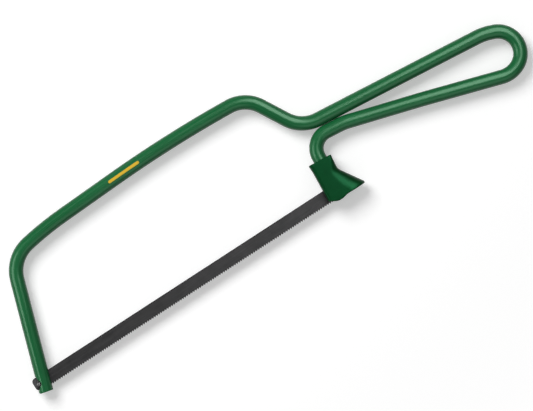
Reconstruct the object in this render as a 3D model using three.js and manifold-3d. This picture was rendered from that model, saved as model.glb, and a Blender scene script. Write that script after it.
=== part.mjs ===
// Mini hacksaw: one bent steel rod, a plastic finger guard and a pinned blade.
// Millimetres. X runs along the blade from the front to the handle, Y from the teeth to the bow,
// Z is up from the side the saw lies on. Pieces are drawn from the front pin, on the rod's middle plane.
import * as THREE from 'three';
import { mergeVertices } from 'three/addons/utils/BufferGeometryUtils.js';
import Module from 'manifold-3d';

const wasm = await Module();
wasm.setup();

// Blade and its two cross pins
const PIN_SPAN = 149.5;
const BLADE_WIDTH = 5.8;
const BLADE_THICKNESS = 0.65;
const BLADE_END = 2.2;
const BLADE_CORNER = 1.6;
const TEETH_PER_INCH = 24;
const TOOTH_DEPTH = 0.5;
const TOOTH_LEAN = 0.12;
const PLAIN_END = 3.6;
const PIN_DIAMETER = 2;
const PIN_LENGTH = 4.6;
const PIN_CHAMFER = 0.2;
const PIN_FIT = 0.05;

// Rod and its slotted ends
const ROD_DIAMETER = 6;
const SAW_CUT = 1;
const SAW_CUT_RELIEF = 0.5;
const SEAT_GAP = 0.2;
const FRONT_RAKE = 71.5;
const FRONT_PIN_LEAD = 2;
const FRONT_TAIL = 3.6;
const NOTCH_UPPER_FLANK = 108;
const NOTCH_LOWER_FLANK = 211;
const REAR_LEAN = 4.5;
const REAR_SEAT_DEPTH = 0.6;
const REAR_SEAT_TOP = 2;
const REAR_TAIL = 2.8;

// Bow: heights above the blade's middle line
const BOW_FRONT_HEIGHT = 50.3;
const BOW_MIDDLE_HEIGHT = 55.3;
const BOW_REAR_HEIGHT = 52.7;
const FRONT_BEND_RADIUS = 16.5;
const BOW_RADIUS = 520;
const CROWN_BEND_RADIUS = 14.75;
const DROP_RUN = 13;

// Handle: distances along and below the upper leg, from the valley where it starts
const VALLEY_HEIGHT = 29.5;
const VALLEY_SETBACK = 1.7;
const VALLEY_BEND_RADIUS = 14;
const HANDLE_SLOPE = 5.7;
const HANDLE_LENGTH = 84;
const LOOP_ENTRY_RADIUS = 23;
const NOSE_RUN = 13.9;
const NOSE_DROP = 4;
const NOSE_RADIUS = 9.2;
const TURN_RUN = 9.1;
const TURN_DROP = 15.9;
const TURN_RADIUS = 8.8;
const HEEL_RUN = 3.2;
const HEEL_DROP = 20.1;
const HEEL_RADIUS = 10.8;
const LEG_GAP = 0.3;
const CONTACT_LENGTH = 18.5;
const CONTACT_RADIUS = 22.5;
const REAR_BEND_RADIUS = 7.1;

// Finger guard
const COLLAR_LENGTH = 9.7;
const COLLAR_FORWARD = 0.3;
const COLLAR_THICKNESS = 10.4;
const COLLAR_CORNER = 2.6;
const COLLAR_HEIGHT = 13.8;
const COLLAR_FIT = 0.12;
const GUARD_DROP = 3.4;
const GUARD_FRONT_ROUND = 2.8;
const FLARE_REACH = 11.3;
const FLARE_HALF_LENGTH = 5.6;
const FLARE_HALF_THICKNESS = 5;
const FLARE_RIM = 0.8;
const FLARE_TOP_HEIGHT = 9;
const FLARE_TOP_REACH = 3.9;
const FLARE_TOP_SHARE = 0.09;
const BLADE_ROOM = 0.28;
const POCKET_ROOM = 0.4;

// Steps for round shapes
const ROD_SIDES = 16;
const BEND_STEP = 7.5;
const BEND_SPAN = 12;
const PIN_SIDES = 16;
const BORE_SIDES = 24;
const FLARE_SIDES = 40;
const CORNER_STEPS = 5;

const rodRadius = ROD_DIAMETER / 2;
const pinRadius = PIN_DIAMETER / 2;
const halfBlade = BLADE_WIDTH / 2;
const rad = THREE.MathUtils.degToRad;
const point = (x, y) => new THREE.Vector2(x, y);
const heading = (degrees) => point(Math.cos(rad(degrees)), Math.sin(rad(degrees)));
const along = (start, direction, distance) => start.clone().addScaledVector(direction, distance);

// A solid from a drawn geometry, for the cuts and joins
function solid(geometry) {
  geometry.deleteAttribute('normal');
  geometry.deleteAttribute('uv');
  const welded = mergeVertices(geometry);
  return new wasm.Manifold(new wasm.Mesh({
    numProp: 3,
    vertProperties: new Float32Array(welded.attributes.position.array),
    triVerts: new Uint32Array(welded.index.array),
  }));
}

// The drawn geometry of a finished solid
function drawn(body) {
  const mesh = body.getMesh();
  const geometry = new THREE.BufferGeometry();
  geometry.setAttribute('position', new THREE.BufferAttribute(mesh.vertProperties, 3));
  geometry.setIndex(new THREE.BufferAttribute(mesh.triVerts, 1));
  geometry.computeVertexNormals();
  return geometry;
}

// A flat outline in X and Y, thickened evenly to both sides of the middle plane
function plate(outline, thickness) {
  const geometry = new THREE.ExtrudeGeometry(outline, { depth: thickness, bevelEnabled: false });
  return geometry.translate(0, 0, -thickness / 2);
}

// A box between two corners in X and Y, as thick as given in Z
function block(low, high, thickness) {
  const geometry = new THREE.BoxGeometry(high.x - low.x, high.y - low.y, thickness);
  return geometry.translate((low.x + high.x) / 2, (low.y + high.y) / 2, 0);
}

// Points of an arc, from one angle to another, ends included
function arcPoints(centre, radius, from, to, steps) {
  const points = [];
  for (let i = 0; i <= steps; i += 1) {
    points.push(along(centre, heading(from + (to - from) * i / steps), radius));
  }
  return points;
}

// Points all around a circle, the last one not repeated
function circlePoints(centre, radius, sides) {
  return arcPoints(centre, radius, 0, 360 - 360 / sides, sides - 1);
}

// Places and directions along a line of corners, each corner rounded by its bend.
// Bends that would run into each other share the straight between them.
function bendStations(corners) {
  const last = corners.length - 1;
  const legs = [];
  for (let i = 0; i < last; i += 1) {
    const leg = corners[i + 1].at.clone().sub(corners[i].at);
    legs.push({ length: leg.length(), direction: leg.normalize() });
  }
  const turns = corners.map(() => 0);
  const wanted = corners.map(() => 0);
  for (let i = 1; i < last; i += 1) {
    turns[i] = Math.atan2(legs[i - 1].direction.cross(legs[i].direction),
      legs[i - 1].direction.dot(legs[i].direction));
    wanted[i] = corners[i].radius * Math.tan(Math.abs(turns[i]) / 2);
  }
  const share = legs.map((leg, i) => Math.min(1, leg.length / (wanted[i] + wanted[i + 1])));
  const stations = [{ at: corners[0].at, direction: legs[0].direction }];
  for (let i = 1; i < last; i += 1) {
    const tangent = wanted[i] * Math.min(share[i - 1], share[i]);
    const radius = tangent / Math.tan(Math.abs(turns[i]) / 2);
    const side = Math.sign(turns[i]);
    const start = along(corners[i].at, legs[i - 1].direction, -tangent);
    const toCentre = point(-legs[i - 1].direction.y, legs[i - 1].direction.x).multiplyScalar(side);
    const centre = along(start, toCentre, radius);
    const bend = Math.abs(turns[i]);
    const steps = Math.max(2, Math.ceil(bend / rad(BEND_STEP)), Math.ceil(bend * radius / BEND_SPAN));
    for (let k = 0; k <= steps; k += 1) {
      const turn = turns[i] * k / steps;
      stations.push({
        at: start.clone().rotateAround(centre, turn),
        direction: legs[i - 1].direction.clone().rotateAround(point(0, 0), turn),
      });
    }
  }
  stations.push({ at: corners[last].at, direction: legs[last - 1].direction });
  return stations;
}

// The rod's middle line, stepped from station to station
class RodLine extends THREE.Curve {
  constructor(stations) {
    super();
    this.stations = stations;
  }

  station(t) {
    return this.stations[Math.round(t * (this.stations.length - 1))];
  }

  getPointAt(t, target = new THREE.Vector3()) {
    const { at } = this.station(t);
    return target.set(at.x, at.y, 0);
  }

  getTangentAt(t, target = new THREE.Vector3()) {
    const { direction } = this.station(t);
    return target.set(direction.x, direction.y, 0);
  }
}

// Front end of the rod: its middle line passes behind the pin
const frontPin = point(0, 0);
const frontUp = heading(FRONT_RAKE);
const frontBack = heading(FRONT_RAKE - 90);
const frontFoot = along(frontPin, frontBack, FRONT_PIN_LEAD);
const frontEnd = along(frontFoot, frontUp, -FRONT_TAIL);

// Rear end of the rod: its rear side is cut back to a seat for the rear pin
const rearPin = point(PIN_SPAN, 0);
const rearAxis = point(PIN_SPAN - pinRadius - SEAT_GAP - rodRadius + REAR_SEAT_DEPTH, 0);
const rearUp = heading(90 - REAR_LEAN);
const rearEnd = along(rearAxis, rearUp, -REAR_TAIL);

// Bow and handle corners
const frontCorner = along(frontFoot, frontUp, (BOW_FRONT_HEIGHT - frontFoot.y) / frontUp.y);
const valley = point(rearAxis.x + VALLEY_SETBACK, VALLEY_HEIGHT);
const crown = point(valley.x - DROP_RUN, BOW_REAR_HEIGHT);
const bowMiddle = point((frontCorner.x + crown.x) / 2, BOW_MIDDLE_HEIGHT);
const handleAlong = heading(-HANDLE_SLOPE);
const handleDown = heading(-HANDLE_SLOPE - 90);
const inHandle = (run, drop) => along(along(valley, handleAlong, run), handleDown, drop);
const legPitch = ROD_DIAMETER + LEG_GAP;
const contactStart = inHandle(0, legPitch);
const rearCornerRun = contactStart.clone().sub(rearAxis).cross(rearUp) / rearUp.cross(handleAlong);

function makeFrameRod() {
  const stations = bendStations([
    { at: frontEnd },
    { at: frontCorner, radius: FRONT_BEND_RADIUS },
    { at: bowMiddle, radius: BOW_RADIUS },
    { at: crown, radius: CROWN_BEND_RADIUS },
    { at: valley, radius: VALLEY_BEND_RADIUS },
    { at: inHandle(HANDLE_LENGTH, 0), radius: LOOP_ENTRY_RADIUS },
    { at: inHandle(HANDLE_LENGTH + NOSE_RUN, NOSE_DROP), radius: NOSE_RADIUS },
    { at: inHandle(HANDLE_LENGTH + TURN_RUN, TURN_DROP), radius: TURN_RADIUS },
    { at: inHandle(HANDLE_LENGTH + HEEL_RUN, HEEL_DROP), radius: HEEL_RADIUS },
    { at: inHandle(CONTACT_LENGTH, legPitch), radius: CONTACT_RADIUS },
    { at: along(contactStart, handleAlong, rearCornerRun), radius: REAR_BEND_RADIUS },
    { at: rearEnd },
  ]);
  const section = new THREE.Shape(circlePoints(point(0, 0), rodRadius, ROD_SIDES));
  const rod = solid(new THREE.ExtrudeGeometry(section, {
    steps: stations.length - 1,
    extrudePath: new RodLine(stations),
    bevelEnabled: false,
  }));

  // Saw cut in the front end, past the blade's back where it leaves the rod
  const backAtRod = (halfBlade - frontFoot.y + rodRadius * frontUp.x) / frontUp.y;
  const frontCut = block(point(-ROD_DIAMETER, -FRONT_TAIL - ROD_DIAMETER),
    point(ROD_DIAMETER, backAtRod + SAW_CUT_RELIEF), SAW_CUT);
  frontCut.rotateZ(rad(FRONT_RAKE - 90));
  frontCut.translate(frontFoot.x, frontFoot.y, 0);

  // Notch around the front pin, open to the front
  const seatRadius = pinRadius + SEAT_GAP;
  const seat = arcPoints(frontPin, seatRadius, NOTCH_LOWER_FLANK - 270, NOTCH_UPPER_FLANK - 90, CORNER_STEPS);
  const notch = new THREE.Shape([
    along(seat[0], heading(NOTCH_LOWER_FLANK), 2 * ROD_DIAMETER),
    ...seat,
    along(seat[CORNER_STEPS], heading(NOTCH_UPPER_FLANK), 2 * ROD_DIAMETER),
  ]);

  // Saw cut and pin seat in the rear end, both open below
  const rearTop = halfBlade + rodRadius * Math.sin(rad(REAR_LEAN)) + SAW_CUT_RELIEF;
  const rearCut = block(point(-ROD_DIAMETER, -REAR_TAIL - ROD_DIAMETER), point(ROD_DIAMETER, rearTop), SAW_CUT);
  const rearSeat = block(point(rodRadius - REAR_SEAT_DEPTH, -REAR_TAIL - ROD_DIAMETER),
    point(ROD_DIAMETER, REAR_SEAT_TOP), 2 * ROD_DIAMETER);
  const rearCuts = [rearCut, rearSeat].map((cut) => {
    cut.rotateZ(rad(-REAR_LEAN));
    cut.translate(rearAxis.x, rearAxis.y, 0);
    return solid(cut);
  });

  return drawn(rod
    .subtract(solid(frontCut))
    .subtract(solid(plate(notch, 2 * ROD_DIAMETER)))
    .subtract(rearCuts[0])
    .subtract(rearCuts[1]));
}

function makeFingerGuard() {
  // Collar: rounded section run along the rod, its lower front edge rounded off
  const halfLength = COLLAR_LENGTH / 2;
  const halfThickness = COLLAR_THICKNESS / 2;
  const inset = point(halfLength - COLLAR_CORNER, halfThickness - COLLAR_CORNER);
  const section = new THREE.Shape([
    ...arcPoints(point(inset.x, inset.y), COLLAR_CORNER, 0, 90, CORNER_STEPS),
    ...arcPoints(point(-inset.x, inset.y), COLLAR_CORNER, 90, 180, CORNER_STEPS),
    ...arcPoints(point(-inset.x, -inset.y), COLLAR_CORNER, 180, 270, CORNER_STEPS),
    ...arcPoints(point(inset.x, -inset.y), COLLAR_CORNER, 270, 360, CORNER_STEPS),
  ]);
  const sleeveDepth = COLLAR_HEIGHT + 2 * GUARD_DROP;
  const sleeve = new THREE.ExtrudeGeometry(section, { depth: sleeveDepth, bevelEnabled: false });
  sleeve.rotateX(Math.PI / 2);
  sleeve.translate(-COLLAR_FORWARD, COLLAR_HEIGHT, 0);
  sleeve.rotateZ(rad(-REAR_LEAN));
  sleeve.translate(rearAxis.x, rearAxis.y, 0);

  // Side outline that gives the flat lower face and its rounded front corner
  const room = 2 * COLLAR_LENGTH;
  const lowerFront = point(
    rearAxis.x - (halfLength + COLLAR_FORWARD + GUARD_DROP * rearUp.x) / rearUp.y,
    rearAxis.y - GUARD_DROP,
  );
  const roundCentre = point(lowerFront.x + GUARD_FRONT_ROUND, lowerFront.y + GUARD_FRONT_ROUND);
  const outline = new THREE.Shape([
    point(rearAxis.x + room, lowerFront.y),
    point(rearAxis.x + room, COLLAR_HEIGHT + room),
    point(lowerFront.x - room, COLLAR_HEIGHT + room),
    along(lowerFront, heading(180 - REAR_LEAN), room),
    ...arcPoints(roundCentre, GUARD_FRONT_ROUND, 180 - REAR_LEAN, 270, CORNER_STEPS),
  ]);
  const collar = solid(sleeve).intersect(solid(plate(outline, 2 * COLLAR_THICKNESS)));

  // Flare: a leaning cone behind the collar, with a short upright rim
  const rimTop = FLARE_RIM - GUARD_DROP;
  const flareShape = new THREE.LatheGeometry([
    point(0, -GUARD_DROP),
    point(1, -GUARD_DROP),
    point(1, rimTop),
    point(FLARE_TOP_SHARE, FLARE_TOP_HEIGHT),
    point(0, FLARE_TOP_HEIGHT),
  ], FLARE_SIDES);
  const rimCentre = FLARE_REACH - FLARE_HALF_LENGTH;
  const topCentre = FLARE_TOP_REACH - FLARE_HALF_LENGTH * FLARE_TOP_SHARE;
  const drift = (topCentre - rimCentre) / (FLARE_TOP_HEIGHT - rimTop);
  flareShape.applyMatrix4(new THREE.Matrix4().set(
    FLARE_HALF_LENGTH, drift, 0, rearAxis.x + rimCentre - drift * rimTop,
    0, 1, 0, rearAxis.y,
    0, 0, FLARE_HALF_THICKNESS, 0,
    0, 0, 0, 1,
  ));

  // Room for the rod, the blade and the rear pin, all open below
  const bore = new THREE.CylinderGeometry(rodRadius + COLLAR_FIT, rodRadius + COLLAR_FIT,
    4 * COLLAR_HEIGHT, BORE_SIDES);
  bore.rotateZ(rad(-REAR_LEAN));
  bore.translate(rearAxis.x, rearAxis.y, 0);
  const bladeSlot = block(
    point(rearAxis.x - room, -2 * GUARD_DROP),
    point(rearPin.x + BLADE_END + POCKET_ROOM, halfBlade + POCKET_ROOM),
    BLADE_THICKNESS + 2 * BLADE_ROOM,
  );
  const pinPocket = block(
    point(rearAxis.x, -2 * GUARD_DROP),
    point(rearPin.x + pinRadius + POCKET_ROOM, pinRadius + POCKET_ROOM),
    PIN_LENGTH + 2 * BLADE_ROOM,
  );

  return drawn(collar
    .add(solid(flareShape))
    .subtract(solid(bore))
    .subtract(solid(bladeSlot))
    .subtract(solid(pinPocket)));
}

function makeBlade() {
  const front = frontPin.x - BLADE_END;
  const rear = rearPin.x + BLADE_END;
  const gullet = TOOTH_DEPTH - halfBlade;
  const pitch = 25.4 / TEETH_PER_INCH;
  const toothCount = Math.floor((PIN_SPAN - 2 * PLAIN_END) / pitch);
  const firstTooth = (frontPin.x + rearPin.x - toothCount * pitch) / 2;
  const lowCorner = BLADE_CORNER + gullet;
  const highCorner = halfBlade - BLADE_CORNER;
  const edge = [...arcPoints(point(front + BLADE_CORNER, lowCorner), BLADE_CORNER, 180, 270, CORNER_STEPS)];
  for (let i = 0; i < toothCount; i += 1) {
    const x = firstTooth + i * pitch;
    edge.push(point(x, gullet), point(x + TOOTH_LEAN, -halfBlade));
  }
  edge.push(point(firstTooth + toothCount * pitch, gullet));
  const outline = new THREE.Shape([
    ...edge,
    ...arcPoints(point(rear - BLADE_CORNER, lowCorner), BLADE_CORNER, 270, 360, CORNER_STEPS),
    ...arcPoints(point(rear - BLADE_CORNER, highCorner), BLADE_CORNER, 0, 90, CORNER_STEPS),
    ...arcPoints(point(front + BLADE_CORNER, highCorner), BLADE_CORNER, 90, 180, CORNER_STEPS),
  ]);
  [frontPin, rearPin].forEach((pin) => {
    outline.holes.push(new THREE.Path(circlePoints(pin, pinRadius + PIN_FIT, PIN_SIDES)));
  });
  return plate(outline, BLADE_THICKNESS);
}

function makePin(place) {
  const end = PIN_LENGTH / 2;
  const pin = new THREE.LatheGeometry([
    point(0, -end),
    point(pinRadius - PIN_CHAMFER, -end),
    point(pinRadius, PIN_CHAMFER - end),
    point(pinRadius, end - PIN_CHAMFER),
    point(pinRadius - PIN_CHAMFER, end),
    point(0, end),
  ], PIN_SIDES);
  pin.rotateX(Math.PI / 2);
  return pin.translate(place.x, place.y, 0);
}

function piece(name, geometry, color, roughness, metalness) {
  const mesh = new THREE.Mesh(geometry, new THREE.MeshStandardMaterial({ color, roughness, metalness }));
  mesh.name = name;
  return mesh;
}

const saw = new THREE.Group();
saw.name = 'mini_hacksaw';
saw.add(
  piece('frame_rod', makeFrameRod(), 0x1f6b3c, 0.4, 0),
  piece('finger_guard', makeFingerGuard(), 0x05502a, 0.5, 0),
  piece('blade', makeBlade(), 0x3e3e40, 0.5, 0.8),
  piece('front_blade_pin', makePin(frontPin), 0x8e9196, 0.35, 1),
  piece('rear_blade_pin', makePin(rearPin), 0x8e9196, 0.35, 1),
);

// Origin: middle of the saw seen from above, on the plane it lies on
const box = new THREE.Box3().setFromObject(saw);
const middle = box.getCenter(new THREE.Vector3());
saw.children.forEach((mesh) => mesh.geometry.translate(-middle.x, -middle.y, -box.min.z));

export default saw;
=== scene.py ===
# Mini hacksaw: looks for the bent rod, the finger guard, the blade and its two pins.
# Sizes are in millimetres from the front pin: first along the blade towards the handle, then
# towards the bow, then out from the plane of the rod's middle line. Angles are in degrees
# unless they are turned into radians here.
import math

import bmesh
import bpy
from mathutils import Matrix, Vector


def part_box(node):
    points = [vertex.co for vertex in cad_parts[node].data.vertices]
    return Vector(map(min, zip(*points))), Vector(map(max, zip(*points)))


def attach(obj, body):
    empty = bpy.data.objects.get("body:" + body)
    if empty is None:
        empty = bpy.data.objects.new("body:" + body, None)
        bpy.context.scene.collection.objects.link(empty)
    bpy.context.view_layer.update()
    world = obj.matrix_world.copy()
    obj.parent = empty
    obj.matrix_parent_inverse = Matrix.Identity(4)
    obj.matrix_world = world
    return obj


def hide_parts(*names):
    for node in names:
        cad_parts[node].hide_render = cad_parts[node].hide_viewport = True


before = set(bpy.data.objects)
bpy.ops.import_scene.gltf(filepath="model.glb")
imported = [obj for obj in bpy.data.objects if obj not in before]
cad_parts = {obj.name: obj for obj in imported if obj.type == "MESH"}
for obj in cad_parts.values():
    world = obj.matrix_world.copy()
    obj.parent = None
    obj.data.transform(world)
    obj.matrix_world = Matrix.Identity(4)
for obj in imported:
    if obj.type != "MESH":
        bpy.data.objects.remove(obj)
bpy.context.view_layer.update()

MM = 0.001
pin_low, pin_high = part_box("front_blade_pin")
FRONT_PIN = (pin_low + pin_high) / 2

# Rod: corners of its middle line with the radius of each bend
ROD_DIAMETER = 6.0
ROD_SIDES = 56
ROD_LINE = [
    (0.500, -4.808, 0),        # front end, before it is trimmed
    (18.566, 49.316, 21.2),    # front bend
    (36.528, 52.402, 198),     # end of the front bend, easing into the bow
    (99.409, 54.869, 534),     # bow
    (134.747, 52.545, 13.9),   # crown
    (147.600, 29.500, 14),     # valley
    (231.185, 21.157, 23),     # loop entry
    (244.619, 15.796, 9.2),    # nose
    (238.660, 4.432, 8.8),     # turn
    (232.373, 0.839, 10.8),    # heel
    (195.000, 12.530, 600),    # slight bow of the lower leg
    (163.000, 21.920, 22.5),   # where the two legs touch
    (147.572, 23.445, 7.6),    # rear bend
    (145.510, -2.791, 0),      # rear end
]
BEND_TURN = math.radians(2.5)  # most turn between two points in a bend
BEND_SPAN = 4.0                # most length between two points in a bend
BEND_FEWEST = 3                # fewest steps in a bend
POINT_GAP = 0.02               # points nearer than this count as one

# Sawn and notched ends of the rod
SAW_CUT = 1.0
FRONT_RAKE = math.radians(71.5)
FRONT_FOOT = (1.897, -0.635)
FRONT_CUT_TOP = 5.231
FRONT_TRIM = [(3.60, -5.00), (-1.60, -3.68), (-2.25, -3.00)]
FRONT_TRIM_RUN = 4             # how far the trim's short side runs on, in its own lengths
NOTCH_RADIUS = 1.2
NOTCH_UPPER_FLANK = math.radians(108)
NOTCH_LOWER_FLANK = math.radians(211)
NOTCH_STEPS = 8
REAR_LEAN = math.radians(4.5)
REAR_AXIS = 145.73
REAR_CUT_TOP = 3.635
REAR_SEAT = 2.57
REAR_SEAT_TOP = 2.0
CUTTER_REACH = 2 * ROD_DIAMETER
ROD_EDGE = 0.22
ROD_EDGE_ANGLE = 40
ROD_EDGE_STEPS = 3
ROD_SMOOTH_ANGLE = 50

# Finger guard: an oblong collar that flares out behind
COLLAR_HALF_LENGTH = 4.85
COLLAR_FORWARD = 0.35
COLLAR_HALF_THICKNESS = 5.2
COLLAR_CORNER = 1.2
COLLAR_HEIGHT = 14.3
COLLAR_LIP = 0.28
COLLAR_LIP_START = 9.5
GUARD_DROP = 3.4
GUARD_BORE = 3.12
GUARD_BORE_EDGE = 0.25
GUARD_EDGE = 0.45
GUARD_LOWER_EDGE = 0.35
GUARD_EDGE_TURNS = [math.radians(turn) for turn in (0, 22, 45, 67)]
FLARE_REACH = 11.47
FLARE_RIM = 0.8
FLARE_SLOPE = 0.638
FLARE_BLEND = 0.8
FLARE_DEPTH = 6.8
FLARE_START = 11.5
GUARD_BOTTOM = [
    (139.5, -1.80), (141.0, -2.35), (142.0, -2.90), (143.0, -3.45), (144.0, -3.82), (145.0, -3.95),
    (146.2, -3.93), (147.2, -3.72), (148.2, -3.50), (149.5, -3.45), (152.0, -3.52), (158.0, -3.50),
]
GUARD_TURNS = 180
GUARD_LEVELS = 44
GUARD_LEVEL_CROWDING = 1.25    # above 1, the levels lie closer towards the rim
GUARD_LOWER_RINGS = 6
GUARD_SEARCH = (0.5, 16.0)     # the surface lies between these distances from the rod's axis
GUARD_SEARCH_STEPS = 40
GUARD_SMOOTH_ANGLE = 38
SLOT_HALF = 0.605
SLOT_TOP = 3.3
SLOT_FRONT = REAR_AXIS - 15
SLOT_REAR = 152.1
POCKET_HALF = 2.58
POCKET_TOP = 1.4
POCKET_REAR = 150.9
BELOW_GUARD = -8               # where the slot's and the pocket's cutters begin

# Blade
PIN_SPAN = 149.5
PIN_HOLE = 1.05
PIN_HOLE_SIDES = 40
BLADE_BACK = 2.96
BLADE_TIPS = 3.11
BLADE_HALF_THICKNESS = 0.325
BLADE_END = 2.2
BLADE_CORNER = 1.6
BLADE_CORNER_STEPS = 10
BLADE_EDGE = 0.05
BLADE_EDGE_ANGLE = 55
BLADE_SMOOTH_ANGLE = 30
TEETH_PER_INCH = 24
TOOTH_PITCH = 25.4 / TEETH_PER_INCH
TOOTH_DEPTH = 0.66
TOOTH_ROOT = TOOTH_DEPTH - BLADE_TIPS
TOOTH_LEAN = 0.12
TOOTH_SET = 0.11
SET_WAVE = 8 * TOOTH_PITCH     # eight teeth to a wave
PLAIN_END = 3.6
WELD_GAP = 0.005
ROOT_SLACK = 0.0001

# Pins: half outline from an end to the side, as share of the radius and height
PIN_RADIUS = 1.0
PIN_HALF_LENGTH = 2.3
PIN_OUTLINE = [(0.32, 2.29), (0.52, 2.24), (0.70, 2.13), (0.85, 1.95), (0.95, 1.72), (1.0, 1.46)]
PIN_SIDES = 48
PIN_SMOOTH_ANGLE = 60

# Noise: where most of its values lie, broad lines against fine ones, and the rim of a chip
NOISE_LOW, NOISE_MIDDLE, NOISE_HIGH = 0.3, 0.5, 0.7
BROAD_LINES = 0.31
CHIP_RAGGED = 1.6
CHIP_RIM = (0.12, 0.22)

# Enamel of the rod
ENAMEL_GREEN = (0.0095, 0.128, 0.0395)
ENAMEL_DEEP = (0.0068, 0.099, 0.0300)
ENAMEL_LINES = {"Stretch": (1.0, 1.0, 0.03), "Scale": 1400.0}
ENAMEL_SKIN = {"Grain": 900.0, "Drift": 70.0}
ENAMEL_LINES_IN_TONE = 0.55
ENAMEL_SKIN_IN_RELIEF = 0.6
ENAMEL_RELIEF = {"Strength": 0.25, "Distance": 0.06 * MM}
ENAMEL_ROUGH = (0.22, 0.32)
ENAMEL_GLOSS = {"Specular IOR Level": 0.25, "Specular Tint": (0.72, 1.0, 0.82, 1.0)}
ENAMEL_RUB_PLACE = (-0.6, -0.2)
ENAMEL_RUB = {"Reach": 2.6 * MM, "Chip Scale": 1900.0}
BARE_STEEL = (0.30, 0.30, 0.31)
BARE_METALLIC = 0.9
STRIPE_YELLOW = (0.72, 0.46, 0.03)
STRIPE_MIDDLE = 76.5
STRIPE_HALF_LENGTH = 7.6
STRIPE_HALF_WIDTH = 0.65
STRIPE_FADE = 0.1
BOW_END = 160.0                # along the rod

# Plastic of the guard
PLASTIC_GREEN = (0.00045, 0.0315, 0.0060)
PLASTIC_DEEP = (0.00035, 0.0243, 0.0044)
PLASTIC_SKIN = {"Grain": 2600.0, "Drift": 160.0}
PLASTIC_RELIEF = {"Strength": 0.3, "Distance": 0.04 * MM}
PLASTIC_ROUGH = (0.31, 0.39)
PLASTIC_GLOSS = {"Specular IOR Level": 0.17, "Specular Tint": (0.18, 1.0, 0.48, 1.0)}

# Steel of the blade
BLADE_GREY = (0.029, 0.0285, 0.0295)
BLADE_DARK = (0.016, 0.016, 0.0165)
BLADE_RUBBED = (0.060, 0.060, 0.063)
BLADE_LINES = {"Stretch": (0.04, 1.0, 1.0), "Scale": 2200.0}
BLADE_SKIN = {"Drift": 220.0}
BLADE_LINES_IN_TONE = 0.5
BLADE_RELIEF = {"Strength": 0.3, "Distance": 0.03 * MM}
BLADE_ROUGH = (0.42, 0.58)
BLADE_GLOSS = {"Metallic": 0.35, "Specular IOR Level": 0.22}
BLADE_RUB_PLACE = (-1.5, 1.1)
BLADE_RUB = {"Reach": 2.4 * MM, "Chip Scale": 1500.0}

# Steel of the pins
PIN_STEEL = (0.15, 0.15, 0.15)
PIN_DARK = (0.07, 0.07, 0.07)
PIN_LINES = {"Stretch": (1.0, 1.0, 0.08), "Scale": 5200.0}
PIN_SKIN = {"Drift": 900.0}
PIN_RELIEF = {"Strength": 0.3, "Distance": 0.02 * MM}
PIN_ROUGH = (0.38, 0.52)
PIN_GLOSS = {"Metallic": 1.0}

# Floor, room and picture: distances in metres, the picture's sizes and the sensor in millimetres
FLOOR_REACH = 40.0
FLOOR_SHADE = 0.765            # what the floor near the saw throws back
FLOOR_GLOW = 0.37              # what it shines by itself there
FLOOR_DULL = 0.18              # what it throws back on to the saw
NEAR_FLOOR, FAR_FLOOR = 0.08, 0.17
FLOOR_STRETCH = (0.5, 1.0, 1.0)
ROOM_WHITE = (1, 1, 1, 1)
ROOM_LIGHT = 0.30
PICTURE_TURN = math.radians(-33)
PICTURE_MIDDLE = (118.1, 10.6)
PICTURE_WIDTH = 218.8
CAMERA_HEIGHT = 1.0
CAMERA_SENSOR = 36.0
CAMERA_SIGHT = 100.0


def place(along, up, out=0.0):
    """A point in the part's frame, in metres."""
    return Vector((FRONT_PIN.x + along * MM, FRONT_PIN.y + up * MM, FRONT_PIN.z + out * MM))


def heading(angle):
    """A direction in the plane of the rod, counted from the blade's own."""
    return Vector((math.cos(angle), math.sin(angle)))


def new_piece(name, data):
    piece = bpy.data.objects.new(name, data)
    bpy.context.scene.collection.objects.link(piece)
    return piece


def finished_mesh(piece):
    """The piece's mesh with its modifiers made real."""
    graph = bpy.context.evaluated_depsgraph_get()
    return bpy.data.meshes.new_from_object(
        piece.evaluated_get(graph), preserve_all_data_layers=True, depsgraph=graph)


def make_real(piece):
    mesh = finished_mesh(piece)
    piece.modifiers.clear()
    old = piece.data
    piece.data = mesh
    bpy.data.meshes.remove(old)


def smooth_faces(mesh, angle):
    for face in mesh.polygons:
        face.use_smooth = True
    mesh.set_sharp_from_angle(angle=math.radians(angle))


def mesh_from(name, points, faces):
    mesh = bpy.data.meshes.new(name)
    mesh.from_pydata(points, [], faces)
    mesh.validate()
    return mesh


def ring_faces(rings, sides, closed):
    """Faces between rings of points in a row, and from the last ring to the first if closed."""
    faces = []
    for ring in range(rings if closed else rings - 1):
        here, there = ring * sides, (ring + 1) % rings * sides
        for k in range(sides):
            n = (k + 1) % sides
            faces.append((here + k, there + k, there + n, here + n))
    return faces


def put_normals_out(mesh):
    work = bmesh.new()
    work.from_mesh(mesh)
    bmesh.ops.recalc_face_normals(work, faces=work.faces)
    work.to_mesh(mesh)
    work.free()


def prism(name, outline, half_thickness):
    """A closed prism over an outline that is drawn anticlockwise."""
    count = len(outline)
    points = [place(p[0], p[1], out) for out in (-half_thickness, half_thickness) for p in outline]
    faces = [tuple(reversed(range(count))), tuple(range(count, 2 * count))]
    faces += [(i, (i + 1) % count, count + (i + 1) % count, count + i) for i in range(count)]
    return new_piece(name, mesh_from(name, points, faces))


def box_outline(low, high):
    return [(low[0], low[1]), (high[0], low[1]), (high[0], high[1]), (low[0], high[1])]


def turned_box(low, high, angle, origin):
    """A box outline drawn upright and then turned about an origin."""
    turn = Matrix.Rotation(angle, 2)
    return [Vector(origin) + turn @ Vector(corner) for corner in box_outline(low, high)]


def cut_away(piece, cutters):
    for cutter in cutters:
        cut = piece.modifiers.new("cut", "BOOLEAN")
        cut.operation, cut.solver, cut.object = "DIFFERENCE", "EXACT", cutter
    make_real(piece)
    for cutter in cutters:
        bpy.data.objects.remove(cutter)


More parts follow.
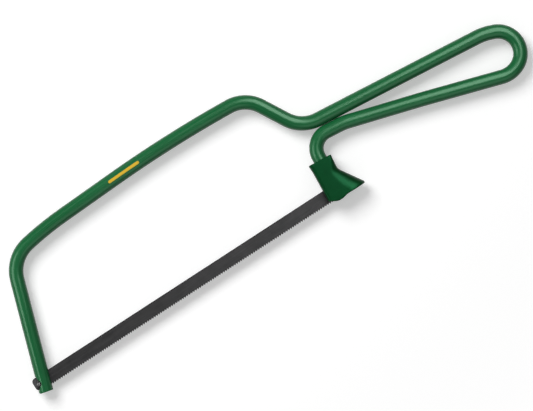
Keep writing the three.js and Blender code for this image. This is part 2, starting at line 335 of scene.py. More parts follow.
def soften_edges(piece, width, angle, segments):
    edge = piece.modifiers.new("softened edges", "BEVEL")
    edge.width, edge.segments = width * MM, segments
    edge.limit_method, edge.angle_limit = "ANGLE", math.radians(angle)
    edge.use_clamp_overlap = True
    make_real(piece)


# Node trees
def wire(tree, source, target):
    tree.links.new(source, target)


def feed(tree, socket, value):
    """Wires another node's output to a socket, or writes a plain value there."""
    if isinstance(value, bpy.types.NodeSocket):
        wire(tree, value, socket)
    else:
        socket.default_value = value


def add_node(tree, kind, feeds=None, **settings):
    """A node with its settings made and its sockets fed by their labels or numbers."""
    node = tree.nodes.new(kind)
    for key, value in settings.items():
        setattr(node, key, value)
    for label, value in (feeds or {}).items():
        feed(tree, node.inputs[label], value)
    return node


def node_math(tree, operation, *values, clamp=False):
    feeds = dict(enumerate(values))
    return add_node(tree, "ShaderNodeMath", feeds, operation=operation, use_clamp=clamp).outputs[0]


def vector_math(tree, operation, first, second=None):
    feeds = {0: first} if second is None else {0: first, 1: second}
    return add_node(tree, "ShaderNodeVectorMath", feeds, operation=operation).outputs


def parts_of(tree, vector):
    return add_node(tree, "ShaderNodeSeparateXYZ", {"Vector": vector}).outputs


def along_axis(tree, axis, value):
    return add_node(tree, "ShaderNodeCombineXYZ", {axis: value}).outputs["Vector"]


def new_tree(name, kind, takes, gives):
    """An empty node group with named sockets, the outputs it is given and the inputs it makes."""
    tree = bpy.data.node_groups.new(name, kind)
    for in_out, sockets in (("INPUT", takes), ("OUTPUT", gives)):
        for label, socket in sockets.items():
            tree.interface.new_socket(label, in_out=in_out, socket_type="NodeSocket" + socket)
    return tree, add_node(tree, "NodeGroupInput").outputs, add_node(tree, "NodeGroupOutput").inputs


def set_inputs(modifier, values):
    """Sets a node modifier's inputs by the sockets' own identifiers."""
    for item in modifier.node_group.interface.items_tree:
        if item.item_type == "SOCKET" and item.in_out == "INPUT" and item.name in values:
            modifier[item.identifier] = values[item.name]


# Rod
def rod_stations():
    """Points along the rod's middle line, dense only where it bends."""
    corners = [Vector(corner[:2]) for corner in ROD_LINE]
    last = len(corners) - 1
    legs = [corners[i + 1] - corners[i] for i in range(last)]
    turns, wanted = [0.0] * (last + 1), [0.0] * (last + 1)
    for i in range(1, last):
        turns[i] = math.atan2(legs[i - 1].cross(legs[i]), legs[i - 1].dot(legs[i]))
        wanted[i] = ROD_LINE[i][2] * math.tan(abs(turns[i]) / 2)
    share = [min(1.0, legs[i].length / (wanted[i] + wanted[i + 1])) for i in range(last)]
    stations = [corners[0]]
    for i in range(1, last):
        bend = abs(turns[i])
        tangent = wanted[i] * min(share[i - 1], share[i])
        radius = tangent / math.tan(bend / 2)
        direction = legs[i - 1].normalized()
        start = corners[i] - direction * tangent
        side = math.copysign(1.0, turns[i])
        centre = start + Vector((-direction.y, direction.x)) * side * radius
        steps = max(BEND_FEWEST, math.ceil(bend / BEND_TURN), math.ceil(bend * radius / BEND_SPAN))
        for k in range(steps + 1):
            spoke = (start - centre) @ Matrix.Rotation(-turns[i] * k / steps, 2)
            at = centre + spoke
            if (at - stations[-1]).length > POINT_GAP:
                stations.append(at)
    stations.append(corners[last])
    return stations


def rod_tree():
    """Runs a round section along a line and closes both ends."""
    tree, given, made = new_tree("Rod Along Line", "GeometryNodeTree", {
        "Geometry": "Geometry", "Diameter": "Float", "Sides": "Int", "Finish": "Material",
    }, {"Geometry": "Geometry"})
    radius = node_math(tree, "MULTIPLY", given["Diameter"], 0.5)
    section = add_node(tree, "GeometryNodeCurvePrimitiveCircle", {
        "Resolution": given["Sides"], "Radius": radius}, mode="RADIUS")
    half_side = node_math(tree, "DIVIDE", math.pi, given["Sides"])
    turned = add_node(tree, "GeometryNodeTransform", {
        "Geometry": section.outputs["Curve"], "Rotation": along_axis(tree, "Z", half_side)})
    swept = add_node(tree, "GeometryNodeCurveToMesh", {
        "Curve": given["Geometry"], "Profile Curve": turned.outputs["Geometry"], "Fill Caps": True})
    real = add_node(tree, "GeometryNodeRealizeInstances", {"Geometry": swept.outputs["Mesh"]})
    painted = add_node(tree, "GeometryNodeSetMaterial", {
        "Geometry": real.outputs["Geometry"], "Material": given["Finish"]})
    wire(tree, painted.outputs["Geometry"], made["Geometry"])
    return tree


def whole_rod(stations, finish):
    """The bent rod before its ends are cut."""
    line = bpy.data.curves.new("rod_line", "CURVE")
    line.dimensions = "3D"
    spline = line.splines.new("POLY")
    spline.points.add(len(stations) - 1)
    for knot, at in zip(spline.points, stations):
        knot.co = (*place(at.x, at.y), 1.0)
    guide = new_piece("rod_line", line)
    sweep = guide.modifiers.new("rod", "NODES")
    sweep.node_group = rod_tree()
    set_inputs(sweep, {"Diameter": ROD_DIAMETER * MM, "Sides": ROD_SIDES, "Finish": finish})
    rod = new_piece("frame_rod_painted", finished_mesh(guide))
    bpy.data.objects.remove(guide)
    return rod


def trim_outline():
    """What is cut off at the front end, below a line with one corner."""
    right, corner, left = (Vector(point) for point in FRONT_TRIM)
    return [
        Vector((-CUTTER_REACH, -CUTTER_REACH)), Vector((CUTTER_REACH, -CUTTER_REACH)),
        right + (right - corner), corner, left + (left - corner) * FRONT_TRIM_RUN,
    ]


def notch_outline():
    """The front pin's notch: a round seat, square at its ends to two straight flanks."""
    seat_from = NOTCH_LOWER_FLANK - math.radians(270)
    seat_to = NOTCH_UPPER_FLANK - math.radians(90)
    seat = [heading(seat_from + (seat_to - seat_from) * k / NOTCH_STEPS) * NOTCH_RADIUS
            for k in range(NOTCH_STEPS + 1)]
    return [
        seat[0] + heading(NOTCH_LOWER_FLANK) * CUTTER_REACH, *seat,
        seat[-1] + heading(NOTCH_UPPER_FLANK) * CUTTER_REACH,
    ]


def nearest_on_rod(flat, stations, lengths):
    """How far a flat point lies beside the rod's middle line, and how far along it."""
    best = None
    for start, end, length in zip(stations, stations[1:], lengths):
        step = end - start
        share = min(1.0, max(0.0, (flat - start).dot(step) / step.length_squared))
        gap = flat - start - step * share
        if best is None or gap.length_squared < best[0]:
            best = (gap.length_squared, step.normalized().cross(gap), length + step.length * share)
    return best[1:]


def mark_rod_place(mesh, stations):
    """Stores each point's place on the rod: beside its middle line, out of its plane, along it."""
    lengths = [0.0]
    for start, end in zip(stations, stations[1:]):
        lengths.append(lengths[-1] + (end - start).length)
    origin = place(0, 0)
    values = []
    for vertex in mesh.vertices:
        at = (vertex.co - origin) / MM
        beside, along = nearest_on_rod(Vector((at.x, at.y)), stations, lengths)
        values += [beside * MM, at.z * MM, along * MM]
    marks = mesh.attributes.new("rod_place", "FLOAT_VECTOR", "POINT")
    marks.data.foreach_set("vector", values)


def make_rod(finish):
    stations = rod_stations()
    rod = whole_rod(stations, finish)
    front_cut = turned_box((-ROD_DIAMETER, -CUTTER_REACH), (ROD_DIAMETER, FRONT_CUT_TOP),
                           FRONT_RAKE - math.pi / 2, FRONT_FOOT)
    rear_cut = turned_box((-ROD_DIAMETER, -CUTTER_REACH), (ROD_DIAMETER, REAR_CUT_TOP),
                          -REAR_LEAN, (REAR_AXIS, 0))
    rear_seat = turned_box((REAR_SEAT, -CUTTER_REACH), (ROD_DIAMETER, REAR_SEAT_TOP),
                           -REAR_LEAN, (REAR_AXIS, 0))
    cut_away(rod, [
        prism("front_trim", trim_outline(), ROD_DIAMETER),
        prism("front_saw_cut", front_cut, SAW_CUT / 2),
        prism("front_notch", notch_outline(), ROD_DIAMETER),
        prism("rear_saw_cut", rear_cut, SAW_CUT / 2),
        prism("rear_seat", rear_seat, ROD_DIAMETER),
    ])
    soften_edges(rod, ROD_EDGE, ROD_EDGE_ANGLE, ROD_EDGE_STEPS)
    smooth_faces(rod.data, ROD_SMOOTH_ANGLE)
    mark_rod_place(rod.data, stations)
    return rod


# Finger guard
def blended(first, second, width):
    """The further of two lines, run into each other over a width."""
    overlap = max(width - abs(first - second), 0.0) / width
    return max(first, second) + overlap * overlap * width / 4


def guard_bottom(along):
    """Height of the guard's lower side, on a smooth curve through its given points."""
    knots = GUARD_BOTTOM
    i = max(k for k in range(len(knots) - 1) if k == 0 or knots[k][0] <= along)
    (x0, y0), (x1, y1) = knots[i], knots[i + 1]
    before, after = knots[max(i - 1, 0)], knots[min(i + 2, len(knots) - 1)]
    rise_0 = (y1 - before[1]) / (x1 - before[0]) * (x1 - x0)
    rise_1 = (after[1] - y0) / (after[0] - x0) * (x1 - x0)
    t = min(max((along - x0) / (x1 - x0), 0.0), 1.0)
    return ((2 * t ** 3 - 3 * t ** 2 + 1) * y0 + (t ** 3 - 2 * t ** 2 + t) * rise_0
            + (3 * t ** 2 - 2 * t ** 3) * y1 + (t ** 3 - t ** 2) * rise_1)


def guard_surface(u, v, out):
    """Above zero outside the guard, below zero inside. u starts at the rod's rear axis.
    Each level is an oblong with rounded corners, whose rear corners grow towards the rim."""
    across = u * math.cos(REAR_LEAN) - v * math.sin(REAR_LEAN) + COLLAR_FORWARD
    rim_top = FLARE_RIM - GUARD_DROP
    flare = FLARE_REACH - FLARE_SLOPE * max(v - rim_top, 0.0)
    flare = flare * math.cos(REAR_LEAN) - v * math.sin(REAR_LEAN) + COLLAR_FORWARD
    lip = max((v - COLLAR_LIP_START) / (COLLAR_HEIGHT - COLLAR_LIP_START), 0.0)
    half_length = COLLAR_HALF_LENGTH + COLLAR_LIP * lip * lip
    rear = blended(half_length, flare, FLARE_BLEND)
    down = min(max((FLARE_START - v) / (FLARE_START - rim_top), 0.0), 1.0)
    share = math.sin(math.pi / 2 * down)
    run = COLLAR_CORNER + (FLARE_DEPTH - COLLAR_CORNER) * share
    fall = COLLAR_CORNER + (COLLAR_HALF_THICKNESS - COLLAR_CORNER) * share
    beside = abs(out) - COLLAR_HALF_THICKNESS
    rear_corner = math.hypot(max(across - rear + run, 0.0) / run, max(beside + fall, 0.0) / fall)
    front_corner = math.hypot(max(COLLAR_CORNER - half_length - across, 0.0) / COLLAR_CORNER,
                              max(beside + COLLAR_CORNER, 0.0) / COLLAR_CORNER)
    return max(rear_corner, front_corner) - 1


def guard_point(turn, level, reach):
    """A point off the rod's rear axis. Level 0 is the lower side, level 1 the upper one."""
    across, out = reach * math.cos(turn), reach * math.sin(turn)
    along = REAR_AXIS + across * math.cos(REAR_LEAN) - GUARD_DROP * math.sin(REAR_LEAN)
    low = guard_bottom(along) / math.cos(REAR_LEAN) + across * math.tan(REAR_LEAN)
    height = low + (COLLAR_HEIGHT - low) * level
    u = across * math.cos(REAR_LEAN) + height * math.sin(REAR_LEAN)
    v = height * math.cos(REAR_LEAN) - across * math.sin(REAR_LEAN)
    return u, v, out


def guard_reach(turn, level):
    """Distance from the rod's axis to the guard's surface, in one direction and on one level."""
    near, far = GUARD_SEARCH
    for _ in range(GUARD_SEARCH_STEPS):
        middle = (near + far) / 2
        if guard_surface(*guard_point(turn, level, middle)) > 0:
            far = middle
        else:
            near = middle
    return (near + far) / 2


def guard_rings():
    """Rings of turn, level and reach, from the bore over the lower side, up the wall and in."""
    depth = COLLAR_HEIGHT + GUARD_DROP
    low_share, top_share = GUARD_LOWER_EDGE / depth, GUARD_EDGE / depth
    rise = 1 - low_share - top_share
    levels = [low_share + rise * (k / GUARD_LEVELS) ** GUARD_LEVEL_CROWDING
              for k in range(GUARD_LEVELS + 1)]
    turns = [2 * math.pi * k / GUARD_TURNS for k in range(GUARD_TURNS)]
    wall = [[(turn, level, guard_reach(turn, level)) for turn in turns] for level in levels]
    rings = []
    for step in range(GUARD_LOWER_RINGS):
        share = step / GUARD_LOWER_RINGS
        rings.append([(turn, 0.0, GUARD_BORE + (reach - GUARD_LOWER_EDGE - GUARD_BORE) * share)
                      for turn, _, reach in wall[0]])
    for edge in GUARD_EDGE_TURNS:
        level, back = low_share * (1 - math.cos(edge)), GUARD_LOWER_EDGE * (1 - math.sin(edge))
        rings.append([(turn, level, reach - back) for turn, _, reach in wall[0]])
    rings += wall
    for edge in reversed(GUARD_EDGE_TURNS):
        level, back = 1 - top_share * (1 - math.cos(edge)), GUARD_EDGE * (1 - math.sin(edge))
        rings.append([(turn, level, reach - back) for turn, _, reach in wall[-1]])
    rings.append([(turn, 1.0, GUARD_BORE + GUARD_BORE_EDGE) for turn in turns])
    rings.append([(turn, 1 - GUARD_BORE_EDGE / depth, GUARD_BORE) for turn in turns])
    return rings


def make_guard():
    """A closed sleeve with the rod's bore, then the blade's slot and the pin's pocket below."""
    rings = guard_rings()
    points = []
    for ring in rings:
        for turn, level, reach in ring:
            u, v, out = guard_point(turn, level, reach)
            points.append(place(REAR_AXIS + u, v, out))
    faces = ring_faces(len(rings), GUARD_TURNS, closed=True)
    guard = new_piece("finger_guard_moulded", mesh_from("finger_guard_moulded", points, faces))
    put_normals_out(guard.data)
    slot = box_outline((SLOT_FRONT, BELOW_GUARD), (SLOT_REAR, SLOT_TOP))
    pocket = box_outline((REAR_AXIS, BELOW_GUARD), (POCKET_REAR, POCKET_TOP))
    cut_away(guard, [
        prism("blade_slot", slot, SLOT_HALF),
        prism("pin_pocket", pocket, POCKET_HALF),
    ])
    smooth_faces(guard.data, GUARD_SMOOTH_ANGLE)
    return guard


# Blade
def tooth_row():
    """Where the first tooth's root is, and how many teeth there are."""
    count = math.floor((PIN_SPAN - 2 * PLAIN_END) / TOOTH_PITCH)
    return (PIN_SPAN - count * TOOTH_PITCH) / 2, count


def blade_corner(along, up, start):
    """A quarter round about a point, from an angle on."""
    steps = BLADE_CORNER_STEPS
    turns = [math.radians(start + 90 * k / steps) for k in range(steps + 1)]
    return [Vector((along, up)) + heading(turn) * BLADE_CORNER for turn in turns]


def blade_outline():
    """The strip's outline without its teeth, anticlockwise, with a point at every tooth root."""
    front, rear = BLADE_CORNER - BLADE_END, PIN_SPAN + BLADE_END - BLADE_CORNER
    low, high = TOOTH_ROOT + BLADE_CORNER, BLADE_BACK - BLADE_CORNER
    first, count = tooth_row()
    roots = [Vector((first + k * TOOTH_PITCH, TOOTH_ROOT)) for k in range(count + 1)]
    return [*blade_corner(front, low, 180), *roots, *blade_corner(rear, low, 270),
            *blade_corner(rear, high, 0), *blade_corner(front, high, 90)]


def blade_strip():
    """The strip with its two pin holes, left open where the teeth join it."""
    loops = [blade_outline()]
    for along in (0, PIN_SPAN):
        loops.append([Vector((along, 0)) + heading(-2 * math.pi * k / PIN_HOLE_SIDES) * PIN_HOLE
                      for k in range(PIN_HOLE_SIDES)])
    work = bmesh.new()
    sides = []
    for out in (-BLADE_HALF_THICKNESS, BLADE_HALF_THICKNESS):
        side = [[work.verts.new(place(p.x, p.y, out)) for p in loop] for loop in loops]
        edges = [work.edges.new((loop[i], loop[(i + 1) % len(loop)]))
                 for loop in side for i in range(len(loop))]
        bmesh.ops.triangle_fill(work, use_beauty=True, use_dissolve=False, edges=edges)
        sides.append(side)
    first, count = tooth_row()
    row_from = place(first - ROOT_SLACK, 0).x
    row_to = place(first + count * TOOTH_PITCH + ROOT_SLACK, 0).x
    row_top = place(0, TOOTH_ROOT + ROOT_SLACK).y
    for under, over in zip(*sides):
        for i in range(len(under)):
            n = (i + 1) % len(under)
            ends = under[i].co, under[n].co
            if not all(at.y < row_top and row_from < at.x < row_to for at in ends):
                work.faces.new((under[i], under[n], over[n], over[i]))
    bmesh.ops.recalc_face_normals(work, faces=work.faces)
    mesh = bpy.data.meshes.new("blade_strip")
    work.to_mesh(mesh)
    work.free()
    return mesh


def one_tooth():
    """A single tooth, open where it joins the strip, drawn from its front root."""
    outline = [(0.0, 0.0), (TOOTH_LEAN * MM, -TOOTH_DEPTH * MM), (TOOTH_PITCH * MM, 0.0)]
    out = BLADE_HALF_THICKNESS * MM
    points = [(x, y, z) for z in (-out, out) for x, y in outline]
    return mesh_from("one_tooth", points, [(0, 2, 1), (3, 4, 5), (0, 1, 4, 3), (1, 2, 5, 4)])


def teeth_tree():
    """Sets teeth along the strip, welds them on and bends their edge in a wave to both sides."""
    tree, given, made = new_tree("Blade Teeth", "GeometryNodeTree", {
        "Geometry": "Geometry", "Tooth": "Object", "Count": "Int", "Pitch": "Float",
        "First Root": "Vector", "Depth": "Float", "Set": "Float", "Wave": "Float",
        "Finish": "Material",
    }, {"Geometry": "Geometry"})
    row = add_node(tree, "GeometryNodeMeshLine", {
        "Count": given["Count"], "Start Location": given["First Root"],
        "Offset": along_axis(tree, "X", given["Pitch"])}, mode="OFFSET")
    tooth = add_node(tree, "GeometryNodeObjectInfo", {"Object": given["Tooth"]})
    teeth = add_node(tree, "GeometryNodeInstanceOnPoints", {
        "Points": row.outputs["Mesh"], "Instance": tooth.outputs["Geometry"]})
    joined = add_node(tree, "GeometryNodeJoinGeometry", {"Geometry": given["Geometry"]})
    wire(tree, teeth.outputs["Instances"], joined.inputs["Geometry"])
    real = add_node(tree, "GeometryNodeRealizeInstances", {"Geometry": joined.outputs["Geometry"]})
    welded = add_node(tree, "GeometryNodeMergeByDistance", {
        "Geometry": real.outputs["Geometry"], "Distance": WELD_GAP * MM})
    at = parts_of(tree, add_node(tree, "GeometryNodeInputPosition").outputs["Position"])
    root = parts_of(tree, given["First Root"])
    below = node_math(tree, "SUBTRACT", root["Y"], at["Y"])
    share = node_math(tree, "DIVIDE", below, given["Depth"], clamp=True)
    turn = node_math(tree, "DIVIDE", node_math(tree, "SUBTRACT", at["X"], root["X"]), given["Wave"])
    wave = node_math(tree, "SINE", node_math(tree, "MULTIPLY", turn, 2 * math.pi))
    lean = node_math(tree, "MULTIPLY", node_math(tree, "MULTIPLY", wave, share), given["Set"])
    moved = add_node(tree, "GeometryNodeSetPosition", {
        "Geometry": welded.outputs["Geometry"], "Offset": along_axis(tree, "Z", lean)})
    coloured = add_node(tree, "GeometryNodeSetMaterial", {
        "Geometry": moved.outputs["Geometry"], "Material": given["Finish"]})
    wire(tree, coloured.outputs["Geometry"], made["Geometry"])
    return tree


def make_blade(finish):
    first, count = tooth_row()
    strip = new_piece("blade_strip", blade_strip())
    tooth = new_piece("one_tooth", one_tooth())
    cut = strip.modifiers.new("teeth", "NODES")
    cut.node_group = teeth_tree()
    set_inputs(cut, {
        "Tooth": tooth, "Count": count, "Pitch": TOOTH_PITCH * MM,
        "First Root": list(place(first, TOOTH_ROOT)), "Depth": TOOTH_DEPTH * MM,
        "Set": TOOTH_SET * MM, "Wave": SET_WAVE * MM, "Finish": finish})
    blade = new_piece("blade_toothed", finished_mesh(strip))
    bpy.data.objects.remove(strip)
    bpy.data.objects.remove(tooth)
    soften_edges(blade, BLADE_EDGE, BLADE_EDGE_ANGLE, 1)
    smooth_faces(blade.data, BLADE_SMOOTH_ANGLE)
    return blade


def make_pin(name, along):
    """A turned pin: a half outline spun about its axis, both ends slightly domed and rounded."""
    outline = PIN_OUTLINE + [(share, -height) for share, height in reversed(PIN_OUTLINE)]
    points = []
    for share, height in outline:
        for k in range(PIN_SIDES):
            spoke = heading(2 * math.pi * k / PIN_SIDES) * share * PIN_RADIUS
            points.append(place(along + spoke.x, spoke.y, height))
    faces = ring_faces(len(outline), PIN_SIDES, closed=False)
    for ring, height in ((0, PIN_HALF_LENGTH), (len(outline) - 1, -PIN_HALF_LENGTH)):
        points.append(place(along, 0, height))
        rim = ring * PIN_SIDES
        faces += [(rim + k, rim + (k + 1) % PIN_SIDES, len(points) - 1) for k in range(PIN_SIDES)]
    pin = new_piece(name, mesh_from(name, points, faces))
    put_normals_out(pin.data)
    smooth_faces(pin.data, PIN_SMOOTH_ANGLE)
    return pin


# Finishes
def noise(tree, vector, scale, detail, roughness):
    return add_node(tree, "ShaderNodeTexNoise", {
        "Vector": vector, "Scale": scale, "Detail": detail, "Roughness": roughness}).outputs["Fac"]


def spread(tree, value, low, high, to_low=0.0, to_high=1.0):
    """Takes a value from one range to another and holds it there."""
    return add_node(tree, "ShaderNodeMapRange", {
        "Value": value, "From Min": low, "From Max": high, "To Min": to_low, "To Max": to_high,
    }, clamp=True).outputs["Result"]


def shared(tree, first, second, share):
    """A share of the first value and the rest of the second."""
    return node_math(tree, "ADD", node_math(tree, "MULTIPLY", first, share),
                     node_math(tree, "MULTIPLY", second, 1 - share))


def colour_mix(tree, share, first, second):
    """The first colour, run into the second by a share that changes over the surface."""
    node = add_node(tree, "ShaderNodeMix", {"Factor": share}, data_type="RGBA")
    colours = [socket for socket in node.inputs if socket.type == "RGBA"]
    for socket, colour in zip(colours, (first, second)):
        feed(tree, socket, colour if isinstance(colour, bpy.types.NodeSocket) else (*colour, 1.0))
    return next(socket for socket in node.outputs if socket.type == "RGBA")


def streak_group():
    """Fine lines drawn out along one direction, as left by drawing, grinding or brushing."""
    tree, given, made = new_tree("Drawn Lines", "ShaderNodeTree", {
        "Place": "Vector", "Stretch": "Vector", "Scale": "Float",
    }, {"Lines": "Float", "Broad": "Float"})
    pulled = vector_math(tree, "MULTIPLY", given["Place"], given["Stretch"])["Vector"]
    fine = noise(tree, pulled, given["Scale"], detail=3.0, roughness=0.6)
    broad_scale = node_math(tree, "MULTIPLY", given["Scale"], BROAD_LINES)
    broad = noise(tree, pulled, broad_scale, detail=2.0, roughness=0.5)
    wire(tree, spread(tree, fine, NOISE_LOW, NOISE_HIGH), made["Lines"])
    wire(tree, spread(tree, broad, NOISE_LOW, NOISE_HIGH), made["Broad"])
    return tree


def grain_group():
    """Small even unevenness of a coat or a moulded skin, with a slow drift of tone under it."""
    tree, given, made = new_tree("Skin Grain", "ShaderNodeTree", {
        "Place": "Vector", "Grain": "Float", "Drift": "Float",
    }, {"Height": "Float", "Tone": "Float"})
    grain = noise(tree, given["Place"], given["Grain"], detail=2.0, roughness=0.55)
    drift = noise(tree, given["Place"], given["Drift"], detail=3.0, roughness=0.6)
    wire(tree, grain, made["Height"])
    wire(tree, spread(tree, drift, NOISE_LOW, NOISE_HIGH), made["Tone"])
    return tree


def wear_group():
    """Rubbed and chipped spots round one place, ragged at their rim."""
    tree, given, made = new_tree("Rubbed Spot", "ShaderNodeTree", {
        "Place": "Vector", "Centre": "Vector", "Reach": "Float", "Chip Scale": "Float",
    }, {"Mask": "Float"})
    gap = vector_math(tree, "DISTANCE", given["Place"], given["Centre"])["Value"]
    near = node_math(tree, "SUBTRACT", 1.0, node_math(tree, "DIVIDE", gap, given["Reach"]))
    chips = noise(tree, given["Place"], given["Chip Scale"], detail=4.0, roughness=0.65)
    ragged = node_math(tree, "SUBTRACT", chips, NOISE_MIDDLE)
    total = node_math(tree, "ADD", near, node_math(tree, "MULTIPLY", ragged, CHIP_RAGGED))
    wire(tree, spread(tree, total, *CHIP_RIM), made["Mask"])
    return tree


def use_group(tree, group, at, values):
    return add_node(tree, "ShaderNodeGroup", {"Place": at, **values}, node_tree=group).outputs


def rubbed_spot(tree, wear, at, centre, values):
    return use_group(tree, wear, at, {"Centre": tuple(place(*centre)), **values})["Mask"]


def new_finish(name):
    finish = bpy.data.materials.new(name)
    finish.use_nodes = True
    finish.node_tree.nodes.clear()
    return finish, finish.node_tree


def cover(tree, height, relief, feeds):
    """The surface's shader, raised by a height, with what feeds its sockets."""
    bump = add_node(tree, "ShaderNodeBump", {"Height": height, **relief})
    shader = add_node(tree, "ShaderNodeBsdfPrincipled", {"Normal": bump.outputs["Normal"], **feeds})
    add_node(tree, "ShaderNodeOutputMaterial", {"Surface": shader.outputs["BSDF"]})


def object_place(tree):
    return add_node(tree, "ShaderNodeTexCoord").outputs["Object"]


def stripe_mask(tree, at, on_rod):
    """A stripe with round ends along the upper side of the bow."""
    half_length, half_width = STRIPE_HALF_LENGTH * MM, STRIPE_HALF_WIDTH * MM
    rod = parts_of(tree, on_rod)
    middle = place(STRIPE_MIDDLE, 0).x
    from_middle = node_math(tree, "SUBTRACT", parts_of(tree, at)["X"], middle)
    from_middle = node_math(tree, "ABSOLUTE", from_middle)
    past = node_math(tree, "SUBTRACT", from_middle, half_length - half_width)
    past = node_math(tree, "MAXIMUM", past, 0.0)
    aside = node_math(tree, "SQRT", node_math(
        tree, "ADD", node_math(tree, "POWER", past, 2.0), node_math(tree, "POWER", rod["X"], 2.0)))
    printed = spread(tree, aside, half_width, half_width - STRIPE_FADE * MM)
    upper = node_math(tree, "GREATER_THAN", rod["Y"], 0.0)
    on_bow = node_math(tree, "LESS_THAN", rod["Z"], BOW_END * MM)
    return node_math(tree, "MULTIPLY", node_math(tree, "MULTIPLY", printed, upper), on_bow)


def enamel_finish(streaks, grain, wear):
    finish, tree = new_finish("green_enamel")
    on_rod = add_node(tree, "ShaderNodeAttribute", attribute_name="rod_place").outputs["Vector"]
    at = object_place(tree)
    lines = use_group(tree, streaks, on_rod, ENAMEL_LINES)
    skin = use_group(tree, grain, at, ENAMEL_SKIN)
    tone = shared(tree, lines["Broad"], skin["Tone"], ENAMEL_LINES_IN_TONE)
    colour = colour_mix(tree, tone, ENAMEL_DEEP, ENAMEL_GREEN)
    colour = colour_mix(tree, stripe_mask(tree, at, on_rod), colour, STRIPE_YELLOW)
    rubbed = rubbed_spot(tree, wear, at, ENAMEL_RUB_PLACE, ENAMEL_RUB)
    height = shared(tree, skin["Height"], lines["Lines"], ENAMEL_SKIN_IN_RELIEF)
    cover(tree, height, ENAMEL_RELIEF, {
        "Base Color": colour_mix(tree, rubbed, colour, BARE_STEEL),
        "Metallic": node_math(tree, "MULTIPLY", rubbed, BARE_METALLIC),
        "Roughness": spread(tree, lines["Lines"], 0.0, 1.0, *ENAMEL_ROUGH),
        **ENAMEL_GLOSS})
    return finish


def plastic_finish(grain):
    finish, tree = new_finish("moulded_green_plastic")
    skin = use_group(tree, grain, object_place(tree), PLASTIC_SKIN)
    cover(tree, skin["Height"], PLASTIC_RELIEF, {
        "Base Color": colour_mix(tree, skin["Tone"], PLASTIC_DEEP, PLASTIC_GREEN),
        "Roughness": spread(tree, skin["Height"], NOISE_LOW, NOISE_HIGH, *PLASTIC_ROUGH),
        **PLASTIC_GLOSS})
    return finish


def blade_finish(streaks, grain, wear):
    finish, tree = new_finish("blackened_blade_steel")
    at = object_place(tree)
    lines = use_group(tree, streaks, at, BLADE_LINES)
    skin = use_group(tree, grain, at, BLADE_SKIN)
    tone = shared(tree, lines["Lines"], skin["Tone"], BLADE_LINES_IN_TONE)
    colour = colour_mix(tree, tone, BLADE_DARK, BLADE_GREY)
    rubbed = rubbed_spot(tree, wear, at, BLADE_RUB_PLACE, BLADE_RUB)
    cover(tree, lines["Lines"], BLADE_RELIEF, {
        "Base Color": colour_mix(tree, rubbed, colour, BLADE_RUBBED),
        "Roughness": spread(tree, lines["Broad"], 0.0, 1.0, *BLADE_ROUGH),
        **BLADE_GLOSS})
    return finish


def pin_finish(streaks, grain):
    finish, tree = new_finish("turned_pin_steel")
    at = object_place(tree)
    lines = use_group(tree, streaks, at, PIN_LINES)
    skin = use_group(tree, grain, at, PIN_SKIN)
    cover(tree, lines["Lines"], PIN_RELIEF, {
        "Base Color": colour_mix(tree, skin["Tone"], PIN_DARK, PIN_STEEL),
        "Roughness": spread(tree, lines["Lines"], 0.0, 1.0, *PIN_ROUGH),
        **PIN_GLOSS})
    return finish


# Pieces
streaks, grain, wear = streak_group(), grain_group(), wear_group()
enamel = enamel_finish(streaks, grain, wear)
plastic = plastic_finish(grain)
dark_steel = blade_finish(streaks, grain, wear)
pin_steel = pin_finish(streaks, grain)

rod = make_rod(enamel)
guard = make_guard()
guard.data.materials.append(plastic)
blade = make_blade(dark_steel)
pins = [make_pin("front_blade_pin_turned", 0.0), make_pin("rear_blade_pin_turned", PIN_SPAN)]
for pin in pins:
    pin.data.materials.append(pin_steel)

for piece, body, node, slot in (
    (rod, "frame", "frame_rod", "frame_paint"),
    (guard, "frame", "finger_guard", "guard_plastic"),
    (blade, "blade", "blade", "blade_steel"),
    (pins[0], "blade", "front_blade_pin", "pin_steel"),
    (pins[1], "blade", "rear_blade_pin", "pin_steel"),
):
    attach(piece, body)
    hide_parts(node)


# Floor, light and camera
def make_floor():
    """A white floor: near the saw it takes its shadow, further out it is plain white."""
    corners = [(-FLOOR_REACH, -FLOOR_REACH, 0), (FLOOR_REACH, -FLOOR_REACH, 0),
               (FLOOR_REACH, FLOOR_REACH, 0), (-FLOOR_REACH, FLOOR_REACH, 0)]
    floor = new_piece("floor", mesh_from("floor", corners, [(0, 1, 2, 3)]))
    finish, tree = new_finish("white_floor")
    path = add_node(tree, "ShaderNodeLightPath").outputs
    seen = node_math(tree, "ADD", path["Is Camera Ray"], path["Is Glossy Ray"])
    seen = node_math(tree, "ADD", seen, path["Is Transmission Ray"], clamp=True)
    stretched = vector_math(tree, "MULTIPLY", object_place(tree), FLOOR_STRETCH)["Vector"]
    far = spread(tree, vector_math(tree, "LENGTH", stretched)["Value"], NEAR_FLOOR, FAR_FLOOR)
    shade = spread(tree, far, 0.0, 1.0, FLOOR_SHADE, 0.0)
    shine = node_math(tree, "MULTIPLY", seen, spread(tree, far, 0.0, 1.0, FLOOR_GLOW, 1.0))
    matt = add_node(tree, "ShaderNodeBsdfDiffuse", {
        "Color": colour_mix(tree, seen, (FLOOR_DULL, FLOOR_DULL, FLOOR_DULL), shade)})
    glow = add_node(tree, "ShaderNodeEmission", {"Strength": shine})
    both = add_node(tree, "ShaderNodeAddShader", {
        0: matt.outputs["BSDF"], 1: glow.outputs["Emission"]})
    add_node(tree, "ShaderNodeOutputMaterial", {"Surface": both.outputs["Shader"]})
    floor.data.materials.append(finish)


def from_picture(right, up, height=0.0):
    """A place above the middle of the picture, in metres along its own right and up."""
    flat = Matrix.Rotation(PICTURE_TURN, 2) @ Vector((right, up))
    middle = place(*PICTURE_MIDDLE)
    return Vector((middle.x + flat.x, middle.y + flat.y, height))


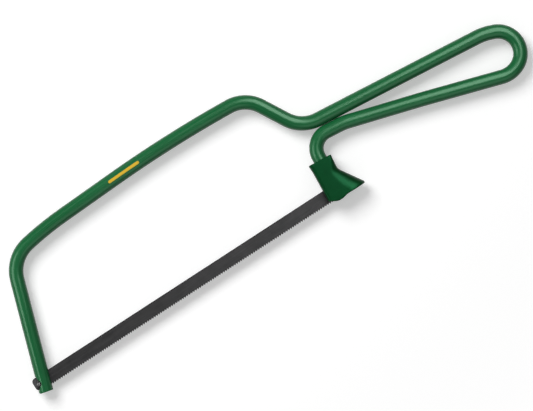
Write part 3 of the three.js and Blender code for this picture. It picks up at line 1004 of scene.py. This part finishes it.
def soft_light(name, at, aim, power, length, width, lean=0.0, lights=True, mirrored=True):
    """An oval softbox that faces the saw. Lean turns its long side from the picture's right."""
    lamp = bpy.data.lights.new(name, "AREA")
    lamp.shape, lamp.size, lamp.size_y, lamp.energy = "ELLIPSE", length, width, power
    stand = new_piece(name, lamp)
    stand.location = from_picture(*at)
    facing = (from_picture(*at) - from_picture(*aim)).normalized()
    level = Matrix.Rotation(PICTURE_TURN + math.radians(lean), 3, "Z") @ Vector((1, 0, 0))
    upright = facing.cross(level).normalized()
    turn = Matrix((upright.cross(facing), upright, facing)).transposed()
    stand.rotation_euler = turn.to_euler()
    stand.visible_diffuse, stand.visible_glossy = lights, mirrored


def make_light():
    """One lamp lights the saw from the upper left, three show only in its gloss."""
    soft_light("main_softbox", at=(-0.55, 0.55, 0.94), aim=(0, 0), power=12.0,
               length=0.70, width=0.70, mirrored=False)
    soft_light("upper_softbox", at=(0.15, 0.31, 0.46), aim=(0.03, 0.03), power=6.3,
               length=0.40, width=0.62, lights=False)
    soft_light("left_softbox", at=(-0.62, -0.08, 0.42), aim=(-0.08, -0.03), power=4.3,
               length=0.60, width=0.40, lean=76, lights=False)
    soft_light("lower_panel", at=(0.25, -0.45, 0.45), aim=(0.03, 0), power=1.6,
               length=0.75, width=0.55, lights=False)
    world = bpy.data.worlds.new("pale_room")
    world.use_nodes = True
    room = world.node_tree.nodes["Background"].inputs
    room["Color"].default_value, room["Strength"].default_value = ROOM_WHITE, ROOM_LIGHT
    bpy.context.scene.world = world


def make_camera():
    """Looks straight down; the saw lies turned in the picture."""
    lens = bpy.data.cameras.new("camera")
    lens.sensor_width = CAMERA_SENSOR
    lens.lens = CAMERA_SENSOR * CAMERA_HEIGHT / (PICTURE_WIDTH * MM)
    lens.clip_end = CAMERA_SIGHT
    camera = new_piece("camera", lens)
    camera.location = place(*PICTURE_MIDDLE) + Vector((0, 0, CAMERA_HEIGHT))
    camera.rotation_euler = (0, 0, PICTURE_TURN)
    bpy.context.scene.camera = camera


make_floor()
make_light()
make_camera()
bpy.context.scene.view_settings.view_transform = "Standard"
